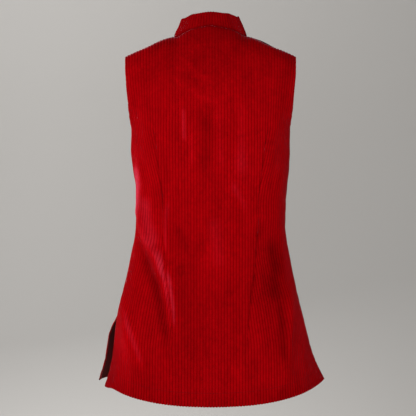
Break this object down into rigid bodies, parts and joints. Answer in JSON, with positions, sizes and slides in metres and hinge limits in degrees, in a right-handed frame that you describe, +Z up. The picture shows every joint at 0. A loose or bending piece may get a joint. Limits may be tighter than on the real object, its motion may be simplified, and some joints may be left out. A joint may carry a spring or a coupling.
{
  "type": "corduroy vest",
  "caption": "Long sleeveless vest of wide-wale corduroy with a stand collar, waist darts, a flared skirt with open side slits and a buttoned front, in its worn, hollow form.",
  "frame": {"origin": "midway between the shoulders, in the neck opening, level with the inner ends of the shoulder slopes", "axes": "+Z up, -Y the way the wearer faces, +X to the wearer's left"},
  "size_m": [0.493, 0.2872, 0.8177],
  "materials": {
    "corduroy": "deep red wide-wale cotton corduroy with a soft pile",
    "button": "dark red, satin"
  },
  "bodies": {
    "root": {"back": "corduroy", "front_left": "corduroy", "front_right": "corduroy", "collar": "corduroy", "button_1": "button", "button_2": "button", "button_3": "button", "button_4": "button", "button_5": "button", "button_6": "button", "button_7": "button", "button_8": "button"}
  },
  "joints": []
}
